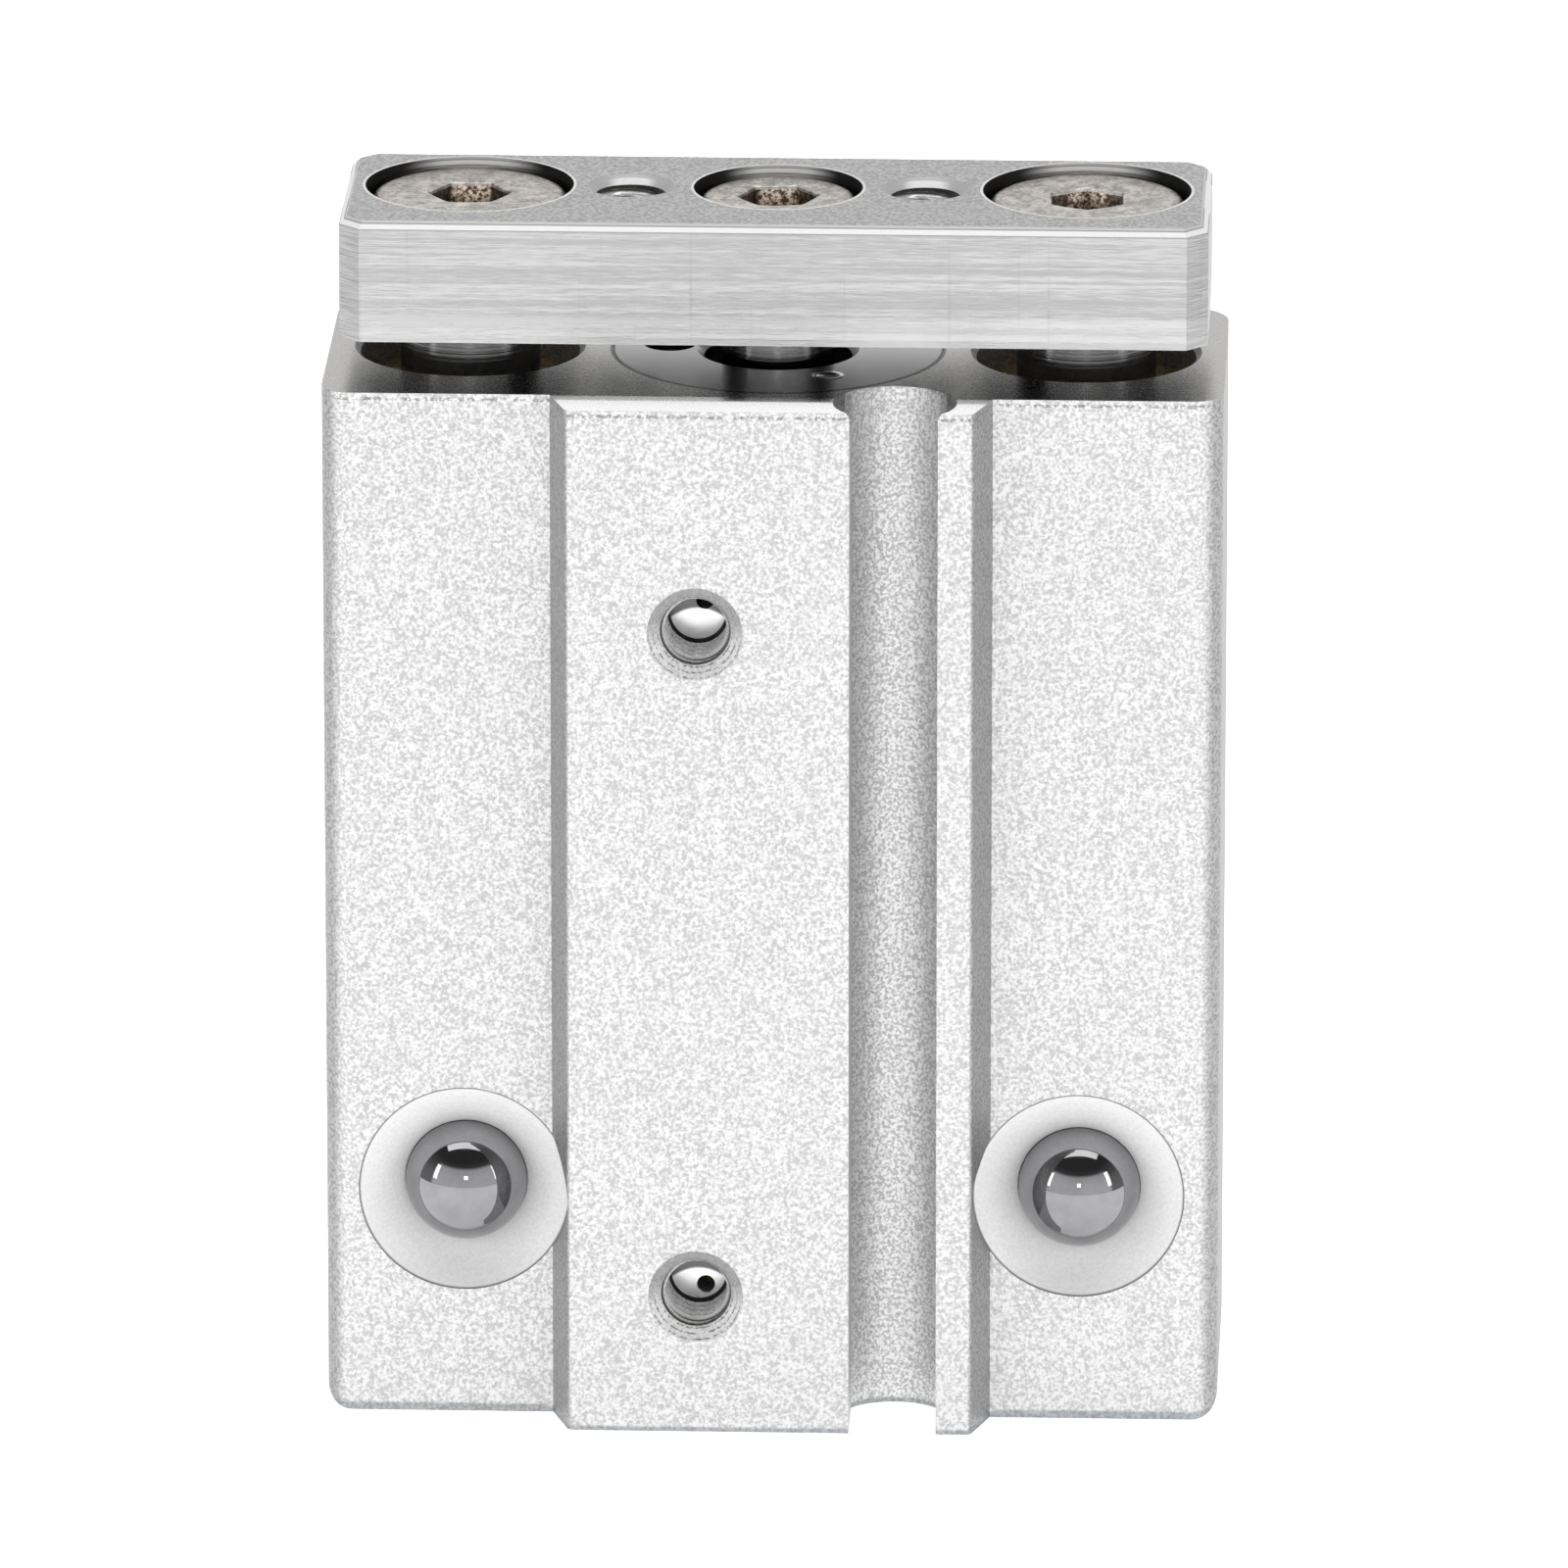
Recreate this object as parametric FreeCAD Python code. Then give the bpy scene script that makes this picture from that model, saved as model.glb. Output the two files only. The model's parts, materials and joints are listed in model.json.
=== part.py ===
import FreeCAD, Part
import os
from math import cos, pi, radians, sin, sqrt

# Miniature guided pneumatic cylinder: a flat aluminium body holds a 10 mm bore with
# two guide rods beside it, and an end plate joins the three rod ends.
# Frame: millimetres, +Z up along the bore, origin on the base under the bore axis,
# -Y towards the ports, +X towards the right guide rod. Stored with the rods retracted.

Vector = FreeCAD.Vector
X_AXIS = Vector(1, 0, 0)
Y_AXIS = Vector(0, 1, 0)
Z_AXIS = Vector(0, 0, 1)

# ---------------------------------------------------------------- motion
stroke = 15.0
plate_gap = 1.55            # end plate above the body when retracted
stop_gap = 0.2              # piston to bumper at each end of the stroke

# ---------------------------------------------------------------- fits (radial)
running_fit = 0.03          # rods in their bearings, seals on their bores
piston_fit = 0.05           # piston in the bore
slip_fit = 0.02             # pieces assembled by hand

# ---------------------------------------------------------------- bore stack, upwards from the base
bore_diameter = 10.0
head_wall = 3.6             # solid end under the bore
bumper_thickness = 0.8      # one at each end of the bore
piston_nose_height = 1.0    # one at each end of the piston
retainer_thickness = 2.0
magnet_height = 2.4
piston_skirt_height = 5.0   # upper land with the seal groove
cover_spigot_length = 4.2
cover_flange_thickness = 1.8

# ---------------------------------------------------------------- body
body_width = 32.0
land_depth = 6.4            # bore axis to the front lands
rail_height = 2.0           # raised rail in front of the lands
back_depth = 6.1            # bore axis to the back face
front_corner_radius = 1.1
back_corner_radius = 1.8
foot_radius = 0.8           # lower side corners, seen from the front
rail_face_width = 14.4
rail_flank_run = 0.65       # how far each slanted flank spreads at its root
rail_edge_radius = 0.25

# ---------------------------------------------------------------- sensor groove
groove_width = 3.13
groove_offset = 4.4         # bore axis to groove centre
groove_depth = 3.6
groove_floor_radius = 2.0
groove_mouth_diameter = 4.4
groove_mouth_depth = 1.2

# ---------------------------------------------------------------- ports, M3
port_offset = 2.63          # left of the bore axis
lower_port_rise = 1.5       # bore's closed end to the lower port's centre
upper_port_drop = 2.2       # rod cover's inner end to the upper port's centre
port_core_diameter = 2.5
port_chamfer_diameter = 3.4
port_depth = 2.8
orifice_diameter = 0.65
orifice_shift_x = 0.25
orifice_shift_z = 0.45      # each orifice lies towards its own end of the bore

# ---------------------------------------------------------------- guides
guide_edge_distance = 5.0   # guide axis to the body's side
guide_rod_diameter = 5.0
guide_rod_end_chamfer = 0.5
guide_rod_rest_height = 3.0  # lower rod end above the base when retracted
guide_bore_diameter = 7.85
guide_bore_chamfer = 0.2
guide_bore_floor = 12.0     # the wide bore ends here
guide_relief = 0.3          # radial room round the rod below the wide bore
bush_length = 9.5
bush_recess = 1.2           # upper bush below the body's top

# ---------------------------------------------------------------- pressed steel balls
ball_diameter = 4.37
ball_height = 8.4           # above the base, on the guide axes
ball_countersink_diameter = 7.6
ball_countersink_depth = 1.2
ball_hole_drill = 1.2

# ---------------------------------------------------------------- mounting threads, core sizes
mount_thread_core = 2.5     # M3
mount_thread_depth = 3.0
base_thread_pitch = 12.0
back_thread_pitch_x = 13.0
back_thread_pitch_z = 20.0

# ---------------------------------------------------------------- rod cover
cover_flange_diameter = 11.8
cover_mouth_diameter = 5.3
cover_mouth_depth = 1.5
cover_mouth_chamfer = 0.25
puller_hole_diameter = 1.85
puller_hole_radius = 3.9    # bore axis to the puller hole
puller_hole_angle = 174.0
puller_hole_depth = 1.2
rod_relief = 0.3            # radial room round the piston rod outside its bush
rod_bush_wall = 0.9
rod_bush_length = 2.8
rod_seal_height = 1.5
rod_seal_wall = 1.5
o_ring_section = 0.8
o_ring_height = 0.8         # groove above the spigot's end
bumper_wall = 1.9

# ---------------------------------------------------------------- piston
piston_nose_step = 0.8      # nose radius is smaller than the piston by this
piston_seal_width = 1.3
piston_seal_depth = 1.1
piston_seal_height = 2.2    # upper piston face to the seal groove's lower side
magnet_wall = 1.5
magnet_cover_wall = 0.35    # magnet set back from the piston's outside
rod_seat_depth = 1.0        # piston rod shoulder sunk in the piston's upper nose
piston_nut_flats = 4.0
piston_nut_height = 1.6

# ---------------------------------------------------------------- rods and end plate
piston_rod_diameter = 4.0
rod_stud_diameter = 2.5     # lower stud that carries the piston
plate_side_inset = 0.6      # plate ends inside the body's sides
plate_thickness = 4.4
plate_front = 5.3           # bore axis to the plate's front face
plate_back = 4.3            # bore axis to the plate's back face
plate_corner_chamfer = 0.75
plate_edge_chamfer = 0.3
head_recess = 0.3           # bolt heads below the plate's top
plate_thread_pitch = 10.5
plate_thread_chamfer = 0.3
guide_bolt_head = 6.9
centre_bolt_head = 5.5
counterbore_clearance = 0.265  # radial, round each bolt head
bolt_head_height = 2.1
bolt_head_chamfer = 0.3
hex_key = 2.5
hex_key_depth = 1.3
socket_turns = {"left": 0.0, "centre": 5.0, "right": 30.0}
guide_bolt_thread = 3.0
centre_bolt_thread = 2.5
bolt_reach = 5.0            # thread inside the rod
tap_spare = 1.5             # tapped depth beyond the bolt's end

# ---------------------------------------------------------------- levels and radii that follow
rail_depth = land_depth + rail_height
bore_radius = bore_diameter / 2
guide_x = body_width / 2 - guide_edge_distance
guide_bore_radius = guide_bore_diameter / 2
rod_radius = piston_rod_diameter / 2
guide_radius = guide_rod_diameter / 2
piston_bottom = head_wall + bumper_thickness + stop_gap
retainer_top = piston_bottom + piston_nose_height + retainer_thickness
magnet_top = retainer_top + magnet_height
body_shoulder = magnet_top + piston_skirt_height
piston_top = body_shoulder + piston_nose_height
cover_bottom = piston_top + stroke + stop_gap + bumper_thickness
cover_seat_floor = cover_bottom + cover_spigot_length
body_height = cover_seat_floor + cover_flange_thickness
lower_port_height = head_wall + lower_port_rise
upper_port_height = cover_bottom - upper_port_drop
cover_radius = bore_radius - slip_fit
piston_radius = bore_radius - piston_fit
nose_radius = piston_radius - piston_nose_step
plate_bottom = body_height + plate_gap
plate_top = plate_bottom + plate_thickness
head_seat = plate_top - head_recess - bolt_head_height
SIDES = (("left", -1), ("right", 1))


# ---------------------------------------------------------------- helpers
def cylinder(radius, low, high, x=0.0, y=0.0):
    """Upright cylinder between two levels."""
    return Part.makeCylinder(radius, high - low, Vector(x, y, low), Z_AXIS)


def cone(low_radius, high_radius, low, high, x=0.0, y=0.0):
    """Upright cone frustum between two levels."""
    return Part.makeCone(low_radius, high_radius, high - low, Vector(x, y, low), Z_AXIS)


def turned(profile, x=0.0, y=0.0):
    """Solid of revolution about an upright axis, from (radius, level) corners."""
    corners = [Vector(radius, 0, level) for radius, level in profile]
    face = Part.Face(Part.makePolygon(corners + corners[:1]))
    solid = face.revolve(Vector(0, 0, 0), Z_AXIS, 360)
    solid.translate(Vector(x, y, 0))
    return solid


def ring(inner, outer, low, high, x=0.0, y=0.0):
    """Flat ring between two levels."""
    return turned([(inner, low), (outer, low), (outer, high), (inner, high)], x, y)


def drilled(radius, depth, mouth, direction):
    """Cylinder that starts at mouth and runs along direction."""
    return Part.makeCylinder(radius, depth, mouth, direction)


def rounded_outline(corners):
    """Closed plan outline: straight runs joined by tangent arcs, from (x, y, radius)."""
    edges = []
    tangents = []
    for index, (x, y, radius) in enumerate(corners):
        corner = Vector(x, y, 0)
        before = Vector(*corners[index - 1][:2], 0) - corner
        after = Vector(*corners[(index + 1) % len(corners)][:2], 0) - corner
        before.normalize()
        after.normalize()
        half_angle = before.getAngle(after) / 2
        setback = radius * cos(half_angle) / sin(half_angle)
        middle = (before + after).normalize()
        crown = corner + middle * (radius / sin(half_angle) - radius)
        tangents.append((corner + before * setback, crown, corner + after * setback, radius))
    for index, (start, crown, end, radius) in enumerate(tangents):
        if radius > 0:
            edges.append(Part.Arc(start, crown, end).toShape())
        following = tangents[(index + 1) % len(tangents)][0]
        edges.append(Part.makeLine(end, following))
    return Part.Wire(edges)


def prism(outline, height):
    """Plan outline raised along Z."""
    return Part.Face(outline).extrude(Z_AXIS * height)


def hexagon(flats, low, high, x=0.0, turn=0.0):
    """Upright hexagonal prism measured over its flats."""
    corner_radius = flats / 2 / cos(pi / 6)
    points = []
    for step in range(7):
        angle = radians(60 * step + turn)
        points.append(Vector(x + corner_radius * cos(angle), corner_radius * sin(angle), low))
    return Part.Face(Part.makePolygon(points)).extrude(Z_AXIS * (high - low))


def thread_core(depth, mouth, direction):
    """Core of a tapped mounting hole, to be cut from a part."""
    return drilled(mount_thread_core / 2, depth, mouth, direction)


# ---------------------------------------------------------------- body
def body_blank():
    """Plan outline with its front rail, trimmed to the front view's rounded foot."""
    half = body_width / 2
    face_half = rail_face_width / 2
    root_half = face_half + rail_flank_run
    corners = [
        (half, -land_depth, front_corner_radius),
        (half, back_depth, back_corner_radius),
        (-half, back_depth, back_corner_radius),
        (-half, -land_depth, front_corner_radius),
        (-root_half, -land_depth, 0.0),
        (-face_half, -rail_depth, rail_edge_radius),
        (face_half, -rail_depth, rail_edge_radius),
        (root_half, -land_depth, 0.0),
    ]
    blank = prism(rounded_outline(corners), body_height)
    front_view = rounded_outline([
        (-half, 0.0, foot_radius),
        (half, 0.0, foot_radius),
        (half, body_height, 0.0),
        (-half, body_height, 0.0),
    ])
    trim = prism(front_view, rail_depth + back_depth)
    trim.rotate(Vector(0, 0, 0), X_AXIS, 90)
    trim.translate(Y_AXIS * back_depth)
    return blank.common(trim)


def sensor_groove():
    """Groove with straight walls and a shallow round floor, and its flared upper mouth."""
    floor_y = groove_depth - rail_depth
    half = groove_width / 2
    rise = groove_floor_radius - sqrt(groove_floor_radius ** 2 - half ** 2)
    left = groove_offset - half
    right = groove_offset + half
    outside = -rail_depth - groove_depth
    floor_left = Vector(left, floor_y - rise, 0)
    floor_right = Vector(right, floor_y - rise, 0)
    outline = Part.Wire([
        Part.makeLine(Vector(left, outside, 0), floor_left),
        Part.Arc(floor_left, Vector(groove_offset, floor_y, 0), floor_right).toShape(),
        Part.makeLine(floor_right, Vector(right, outside, 0)),
        Part.makeLine(Vector(right, outside, 0), Vector(left, outside, 0)),
    ])
    mouth_y = floor_y - groove_mouth_diameter / 2
    mouth = cone(half, groove_mouth_diameter / 2, body_height - groove_mouth_depth, body_height,
                 groove_offset, mouth_y)
    return prism(outline, body_height).fuse(mouth)


def port(height, toward_end):
    """M3 air port: chamfer, tapped core and a small orifice on to the bore."""
    mouth = Vector(-port_offset, -rail_depth, height)
    core = port_core_diameter / 2
    lead = port_chamfer_diameter / 2 - core
    hole = drilled(core, port_depth, mouth, Y_AXIS)
    chamfer = Part.makeCone(port_chamfer_diameter / 2, core, lead, mouth, Y_AXIS)
    shift = Vector(orifice_shift_x, 0, toward_end * orifice_shift_z)
    orifice = drilled(orifice_diameter / 2, rail_depth, mouth + shift, Y_AXIS)
    return hole.fuse([chamfer, orifice])


def guide_bore(x):
    """Wide bush bore, relief bore through the base, and the cross hole for the steel ball."""
    wide = cylinder(guide_bore_radius, guide_bore_floor, body_height, x)
    lead = cone(guide_bore_radius, guide_bore_radius + guide_bore_chamfer,
                body_height - guide_bore_chamfer, body_height, x)
    relief = cylinder(guide_radius + guide_relief, 0.0, guide_bore_floor, x)
    mouth = Vector(x, -land_depth, ball_height)
    ball_hole = ball_diameter / 2 + slip_fit
    seat_depth = ball_countersink_depth + ball_diameter / 2
    countersink = Part.makeCone(ball_countersink_diameter / 2, ball_hole, ball_countersink_depth,
                                mouth, Y_AXIS)
    above_land = drilled(ball_countersink_diameter / 2, rail_height, mouth, -Y_AXIS)
    straight = drilled(ball_hole, seat_depth, mouth, Y_AXIS)
    through = drilled(ball_hole_drill / 2, land_depth, mouth, Y_AXIS)
    return wide.fuse([lead, relief, countersink, above_land, straight, through])


def make_body():
    body = body_blank().cut(sensor_groove())
    cuts = [cylinder(bore_radius, head_wall, body_height)]
    cuts.append(cylinder(cover_flange_diameter / 2, cover_seat_floor, body_height))
    cuts += [port(lower_port_height, -1), port(upper_port_height, 1)]
    cuts += [guide_bore(side * guide_x) for _, side in SIDES]
    for _, side in SIDES:
        mouth = Vector(side * base_thread_pitch / 2, 0, 0)
        cuts.append(thread_core(mount_thread_depth, mouth, Z_AXIS))
        for end in (-1, 1):
            level = (body_height + end * back_thread_pitch_z) / 2
            mouth = Vector(side * back_thread_pitch_x / 2, back_depth, level)
            cuts.append(thread_core(mount_thread_depth, mouth, -Y_AXIS))
    for cut in cuts:
        body = body.cut(cut)
    return body


def make_steel_ball(side):
    """Ball pressed in the cross hole, its middle level with the countersink's end."""
    centre = Vector(side * guide_x, ball_countersink_depth - land_depth, ball_height)
    return Part.makeSphere(ball_diameter / 2, centre)


def make_guide_bush(side, low):
    return ring(guide_radius + running_fit, guide_bore_radius, low, low + bush_length,
                side * guide_x)


# ---------------------------------------------------------------- rod cover and its seals
bush_outer = rod_radius + running_fit + rod_bush_wall
seal_outer = rod_radius + rod_seal_wall
cover_mouth_floor = body_height - cover_mouth_depth
bush_bottom = cover_bottom + rod_seal_height
o_ring_low = cover_bottom + o_ring_height
o_ring_inner = cover_radius - o_ring_section


def make_rod_cover():
    """Flanged cover flush with the body's top, bored for its bush and rod seal."""
    flange = cover_flange_diameter / 2 - slip_fit
    mouth = cover_mouth_diameter / 2
    profile = [
        (seal_outer, cover_bottom),
        (cover_radius, cover_bottom),
        (cover_radius, o_ring_low),
        (o_ring_inner, o_ring_low),
        (o_ring_inner, o_ring_low + o_ring_section),
        (cover_radius, o_ring_low + o_ring_section),
        (cover_radius, cover_seat_floor),
        (flange, cover_seat_floor),
        (flange, body_height),
        (mouth + cover_mouth_chamfer, body_height),
        (mouth, body_height - cover_mouth_chamfer),
        (mouth, cover_mouth_floor),
        (rod_radius + rod_relief, cover_mouth_floor),
        (rod_radius + rod_relief, bush_bottom + rod_bush_length),
        (bush_outer, bush_bottom + rod_bush_length),
        (bush_outer, bush_bottom),
        (seal_outer, bush_bottom),
    ]
    angle = radians(puller_hole_angle)
    puller = cylinder(puller_hole_diameter / 2, body_height - puller_hole_depth, body_height,
                      puller_hole_radius * cos(angle), puller_hole_radius * sin(angle))
    return turned(profile).cut(puller)


def make_rod_bush():
    return ring(rod_radius + running_fit, bush_outer, bush_bottom, bush_bottom + rod_bush_length)


def make_rod_seal():
    """Lip seal: a ring with a groove in its pressure side."""
    inner = rod_radius + running_fit
    lip = rod_seal_wall / 3
    middle = (inner + seal_outer) / 2
    profile = [
        (inner, cover_bottom), (inner + lip, cover_bottom),
        (middle, cover_bottom + rod_seal_height / 2),
        (seal_outer - lip, cover_bottom), (seal_outer, cover_bottom),
        (seal_outer, bush_bottom), (inner, bush_bottom),
    ]
    return turned(profile)


def make_cover_o_ring():
    """Cord squeezed to a soft hexagon, its two points on the groove's and the bore's walls."""
    half = o_ring_section / 2
    middle_radius = cover_radius - half
    profile = []
    for step in range(6):
        angle = radians(60 * step)
        profile.append((middle_radius + half * cos(angle), o_ring_low + half + half * sin(angle)))
    return turned(profile)


def make_rod_side_bumper():
    inner = rod_radius + rod_relief
    return ring(inner, inner + bumper_wall, cover_bottom - bumper_thickness, cover_bottom)


def make_head_side_bumper():
    return cylinder(nose_radius, head_wall, head_wall + bumper_thickness)


# ---------------------------------------------------------------- piston
magnet_outer = piston_radius - magnet_cover_wall
hub_radius = magnet_outer - magnet_wall
seal_groove_low = body_shoulder - piston_seal_height
stud_radius = rod_stud_diameter / 2


def make_piston():
    """Piston with an upper nose, a seal groove and the hub that centres magnet and retainer."""
    profile = [
        (stud_radius + slip_fit, piston_bottom + piston_nut_height),
        (hub_radius - slip_fit, piston_bottom + piston_nut_height),
        (hub_radius - slip_fit, magnet_top),
        (piston_radius, magnet_top),
        (piston_radius, seal_groove_low),
        (piston_radius - piston_seal_depth, seal_groove_low),
        (piston_radius - piston_seal_depth, seal_groove_low + piston_seal_width),
        (piston_radius, seal_groove_low + piston_seal_width),
        (piston_radius, body_shoulder),
        (nose_radius, body_shoulder),
        (nose_radius, piston_top),
        (rod_radius + slip_fit, piston_top),
        (rod_radius + slip_fit, piston_top - rod_seat_depth),
        (stud_radius + slip_fit, piston_top - rod_seat_depth),
    ]
    return turned(profile)


def make_piston_seal():
    return ring(piston_radius - piston_seal_depth, bore_radius - running_fit,
                seal_groove_low, seal_groove_low + piston_seal_width)


def make_piston_magnet():
    return ring(hub_radius, magnet_outer, retainer_top, magnet_top)


def make_magnet_retainer():
    """Lower disc and nose that clamp the magnet under the piston."""
    profile = [
        (hub_radius, piston_bottom),
        (nose_radius, piston_bottom),
        (nose_radius, piston_bottom + piston_nose_height),
        (piston_radius, piston_bottom + piston_nose_height),
        (piston_radius, retainer_top),
        (hub_radius, retainer_top),
    ]
    return turned(profile)


def make_piston_nut():
    nut = hexagon(piston_nut_flats, piston_bottom, piston_bottom + piston_nut_height)
    return nut.cut(cylinder(stud_radius, piston_bottom, piston_bottom + piston_nut_height))


# ---------------------------------------------------------------- rods
def threaded_end(thread, x=0.0):
    """Tapped core in a rod's upper end."""
    return cylinder(thread / 2, plate_bottom - bolt_reach - tap_spare, plate_bottom, x)


def make_piston_rod():
    shoulder = piston_top - rod_seat_depth
    rod = cylinder(rod_radius, shoulder, plate_bottom)
    stud = cylinder(stud_radius, piston_bottom, shoulder)
    return rod.fuse(stud).cut(threaded_end(centre_bolt_thread))


def make_guide_rod(side):
    x = side * guide_x
    edge = guide_rod_end_chamfer
    tip = cone(guide_radius - edge, guide_radius, guide_rod_rest_height,
               guide_rod_rest_height + edge, x)
    rod = cylinder(guide_radius, guide_rod_rest_height + edge, plate_bottom, x)
    return rod.fuse(tip).cut(threaded_end(guide_bolt_thread, x))


# ---------------------------------------------------------------- end plate and bolts
def make_end_plate():
    """Plate with chamfered corners and upper edges, three counterbores and two threads."""
    half = body_width / 2 - plate_side_inset
    corner = plate_corner_chamfer
    outline = rounded_outline([
        (half, corner - plate_front, 0.0), (half, plate_back - corner, 0.0),
        (half - corner, plate_back, 0.0), (corner - half, plate_back, 0.0),
        (-half, plate_back - corner, 0.0), (-half, corner - plate_front, 0.0),
        (corner - half, -plate_front, 0.0), (half - corner, -plate_front, 0.0),
    ])
    plate = prism(outline, plate_thickness)
    plate.translate(Z_AXIS * plate_bottom)
    top_edges = [edge for edge in plate.Edges
                 if min(vertex.Z for vertex in edge.Vertexes) > plate_top - slip_fit]
    plate = plate.makeChamfer(plate_edge_chamfer, top_edges)
    stations = [(side * guide_x, guide_bolt_head, guide_bolt_thread) for _, side in SIDES]
    stations.append((0.0, centre_bolt_head, centre_bolt_thread))
    for x, head, thread in stations:
        counterbore = head / 2 + counterbore_clearance
        plate = plate.cut(cylinder(counterbore, head_seat, plate_top, x))
        plate = plate.cut(cylinder(thread / 2 + slip_fit, plate_bottom, plate_top, x))
    core = mount_thread_core / 2
    lead = plate_thread_chamfer
    for _, side in SIDES:
        mouth = Vector(side * plate_thread_pitch / 2, 0, plate_top)
        plate = plate.cut(thread_core(plate_thickness, mouth, -Z_AXIS))
        plate = plate.cut(Part.makeCone(core + lead, core, lead, mouth, -Z_AXIS))
    return plate


def make_cap_bolt(x, head, thread, turn):
    """Low cap screw: chamfered head, hexagon socket and a plain shank for its thread."""
    head_top = head_seat + bolt_head_height
    edge = bolt_head_chamfer
    shank_end = plate_bottom - bolt_reach
    shank = thread / 2 - slip_fit
    profile = [
        (0, shank_end), (shank, shank_end), (shank, head_seat), (head / 2, head_seat),
        (head / 2, head_top - edge), (head / 2 - edge, head_top), (0, head_top),
    ]
    socket = hexagon(hex_key, head_top - hex_key_depth, head_top, x, turn)
    return turned(profile, x).cut(socket)


# ---------------------------------------------------------------- write one STEP per piece
def build_parts():
    parts = {
        "body": make_body(),
        "rod_cover": make_rod_cover(),
        "rod_bush": make_rod_bush(),
        "rod_seal": make_rod_seal(),
        "cover_o_ring": make_cover_o_ring(),
        "rod_side_bumper": make_rod_side_bumper(),
        "head_side_bumper": make_head_side_bumper(),
        "end_plate": make_end_plate(),
        "piston_rod": make_piston_rod(),
        "piston": make_piston(),
        "piston_seal": make_piston_seal(),
        "piston_magnet": make_piston_magnet(),
        "magnet_retainer": make_magnet_retainer(),
        "piston_nut": make_piston_nut(),
        "piston_rod_bolt": make_cap_bolt(
            0.0, centre_bolt_head, centre_bolt_thread, socket_turns["centre"]),
    }
    upper_bush_low = body_height - bush_recess - bush_length
    for name, side in SIDES:
        parts[name + "_steel_ball"] = make_steel_ball(side)
        parts[name + "_lower_guide_bush"] = make_guide_bush(side, guide_bore_floor)
        parts[name + "_upper_guide_bush"] = make_guide_bush(side, upper_bush_low)
        parts[name + "_guide_rod"] = make_guide_rod(side)
        parts[name + "_guide_rod_bolt"] = make_cap_bolt(
            side * guide_x, guide_bolt_head, guide_bolt_thread, socket_turns[name])
    return parts


os.makedirs("parts", exist_ok=True)
for name, shape in build_parts().items():
    solid = shape.removeSplitter()
    solid.exportStep("parts/" + name + ".step")
    print(name, len(solid.Solids), "solid", round(solid.Volume, 2), "mm3", solid.isValid())
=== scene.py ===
# %% [markdown]
# # A miniature guided pneumatic cylinder
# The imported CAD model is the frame: every piece keeps the place that it has there.
# This lesson gives its surfaces their finishes, cuts the threads that the solids leave
# out, and makes the screws and the balls again, finer, because they are seen close up.
# +Z runs up along the bore and -Y faces the ports. Meshes, lights and the camera are in
# metres. Finishes read millimetres, because their small steps are easier to judge so.

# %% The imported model
import bpy
import json
import numpy as np
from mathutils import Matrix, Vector


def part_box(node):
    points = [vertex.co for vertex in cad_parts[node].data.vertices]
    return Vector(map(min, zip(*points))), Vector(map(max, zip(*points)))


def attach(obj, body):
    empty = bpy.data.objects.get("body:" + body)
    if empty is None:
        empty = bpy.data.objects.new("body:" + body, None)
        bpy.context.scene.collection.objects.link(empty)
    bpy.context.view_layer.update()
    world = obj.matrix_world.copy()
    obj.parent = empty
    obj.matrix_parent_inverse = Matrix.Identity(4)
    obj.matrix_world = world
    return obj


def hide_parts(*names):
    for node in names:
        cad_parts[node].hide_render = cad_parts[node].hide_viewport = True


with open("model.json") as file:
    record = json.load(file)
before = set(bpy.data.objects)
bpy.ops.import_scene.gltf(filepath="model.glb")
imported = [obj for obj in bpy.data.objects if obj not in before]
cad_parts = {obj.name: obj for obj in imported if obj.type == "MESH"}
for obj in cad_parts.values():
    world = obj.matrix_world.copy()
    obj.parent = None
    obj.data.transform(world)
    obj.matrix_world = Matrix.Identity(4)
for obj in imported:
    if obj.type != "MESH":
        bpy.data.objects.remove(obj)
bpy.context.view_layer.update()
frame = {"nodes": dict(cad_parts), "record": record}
MM = 0.001
nodes = frame["nodes"]
mounts = {mount["name"]: mount for mount in frame["record"]["mounts"]}
body_low, body_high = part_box("body")
plate_low, plate_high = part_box("end_plate")
BODY_TOP = body_high.z / MM
BODY_FRONT = body_low.y / MM
PLATE_TOP = plate_high.z / MM
PLATE_FOOT = plate_low.z / MM
SCREWS = ("left_guide_rod_bolt", "right_guide_rod_bolt", "piston_rod_bolt")
print("nodes", len(nodes), "body top at", round(BODY_TOP, 2), "mm")

# %% [markdown]
# ## A sheet of points, and how it becomes a piece
# Most of what is seen here was turned on a lathe or cut with a thread, so each surface
# is a function of two parameters: how far along a profile, and how far round the axis.
# Working the whole grid out as one array is quicker and clearer than moving vertices
# one by one, and the formula stays readable. The grid closes on itself round the axis,
# and its first and last rows are either joined or drawn in to a single pole.

# %% Meshes from grids
def grid_faces(rows, columns, rows_closed):
    """Four-sided faces between neighbouring rows and columns; columns always wrap round."""
    row = np.arange(rows if rows_closed else rows - 1)[:, None]
    column = np.arange(columns)[None, :]
    after = (row + 1) % rows
    right = (column + 1) % columns
    corners = [row * columns + column, row * columns + right,
               after * columns + right, after * columns + column]
    return np.stack(np.broadcast_arrays(*corners), -1).reshape(-1, 4)


def make_piece(name, points, faces, body, material, sharp_degrees=35.0):
    """Mesh object from an (n, 3) array of points and lists of corner indices."""
    mesh = bpy.data.meshes.new(name)
    mesh.from_pydata(points.tolist(), [], [list(face) for face in faces])
    mesh.update()
    mesh.shade_smooth()
    mesh.set_sharp_from_angle(angle=np.radians(sharp_degrees))
    piece = bpy.data.objects.new(name, mesh)
    bpy.context.scene.collection.objects.link(piece)
    piece.data.materials.append(material)
    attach(piece, body)
    return piece


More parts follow.
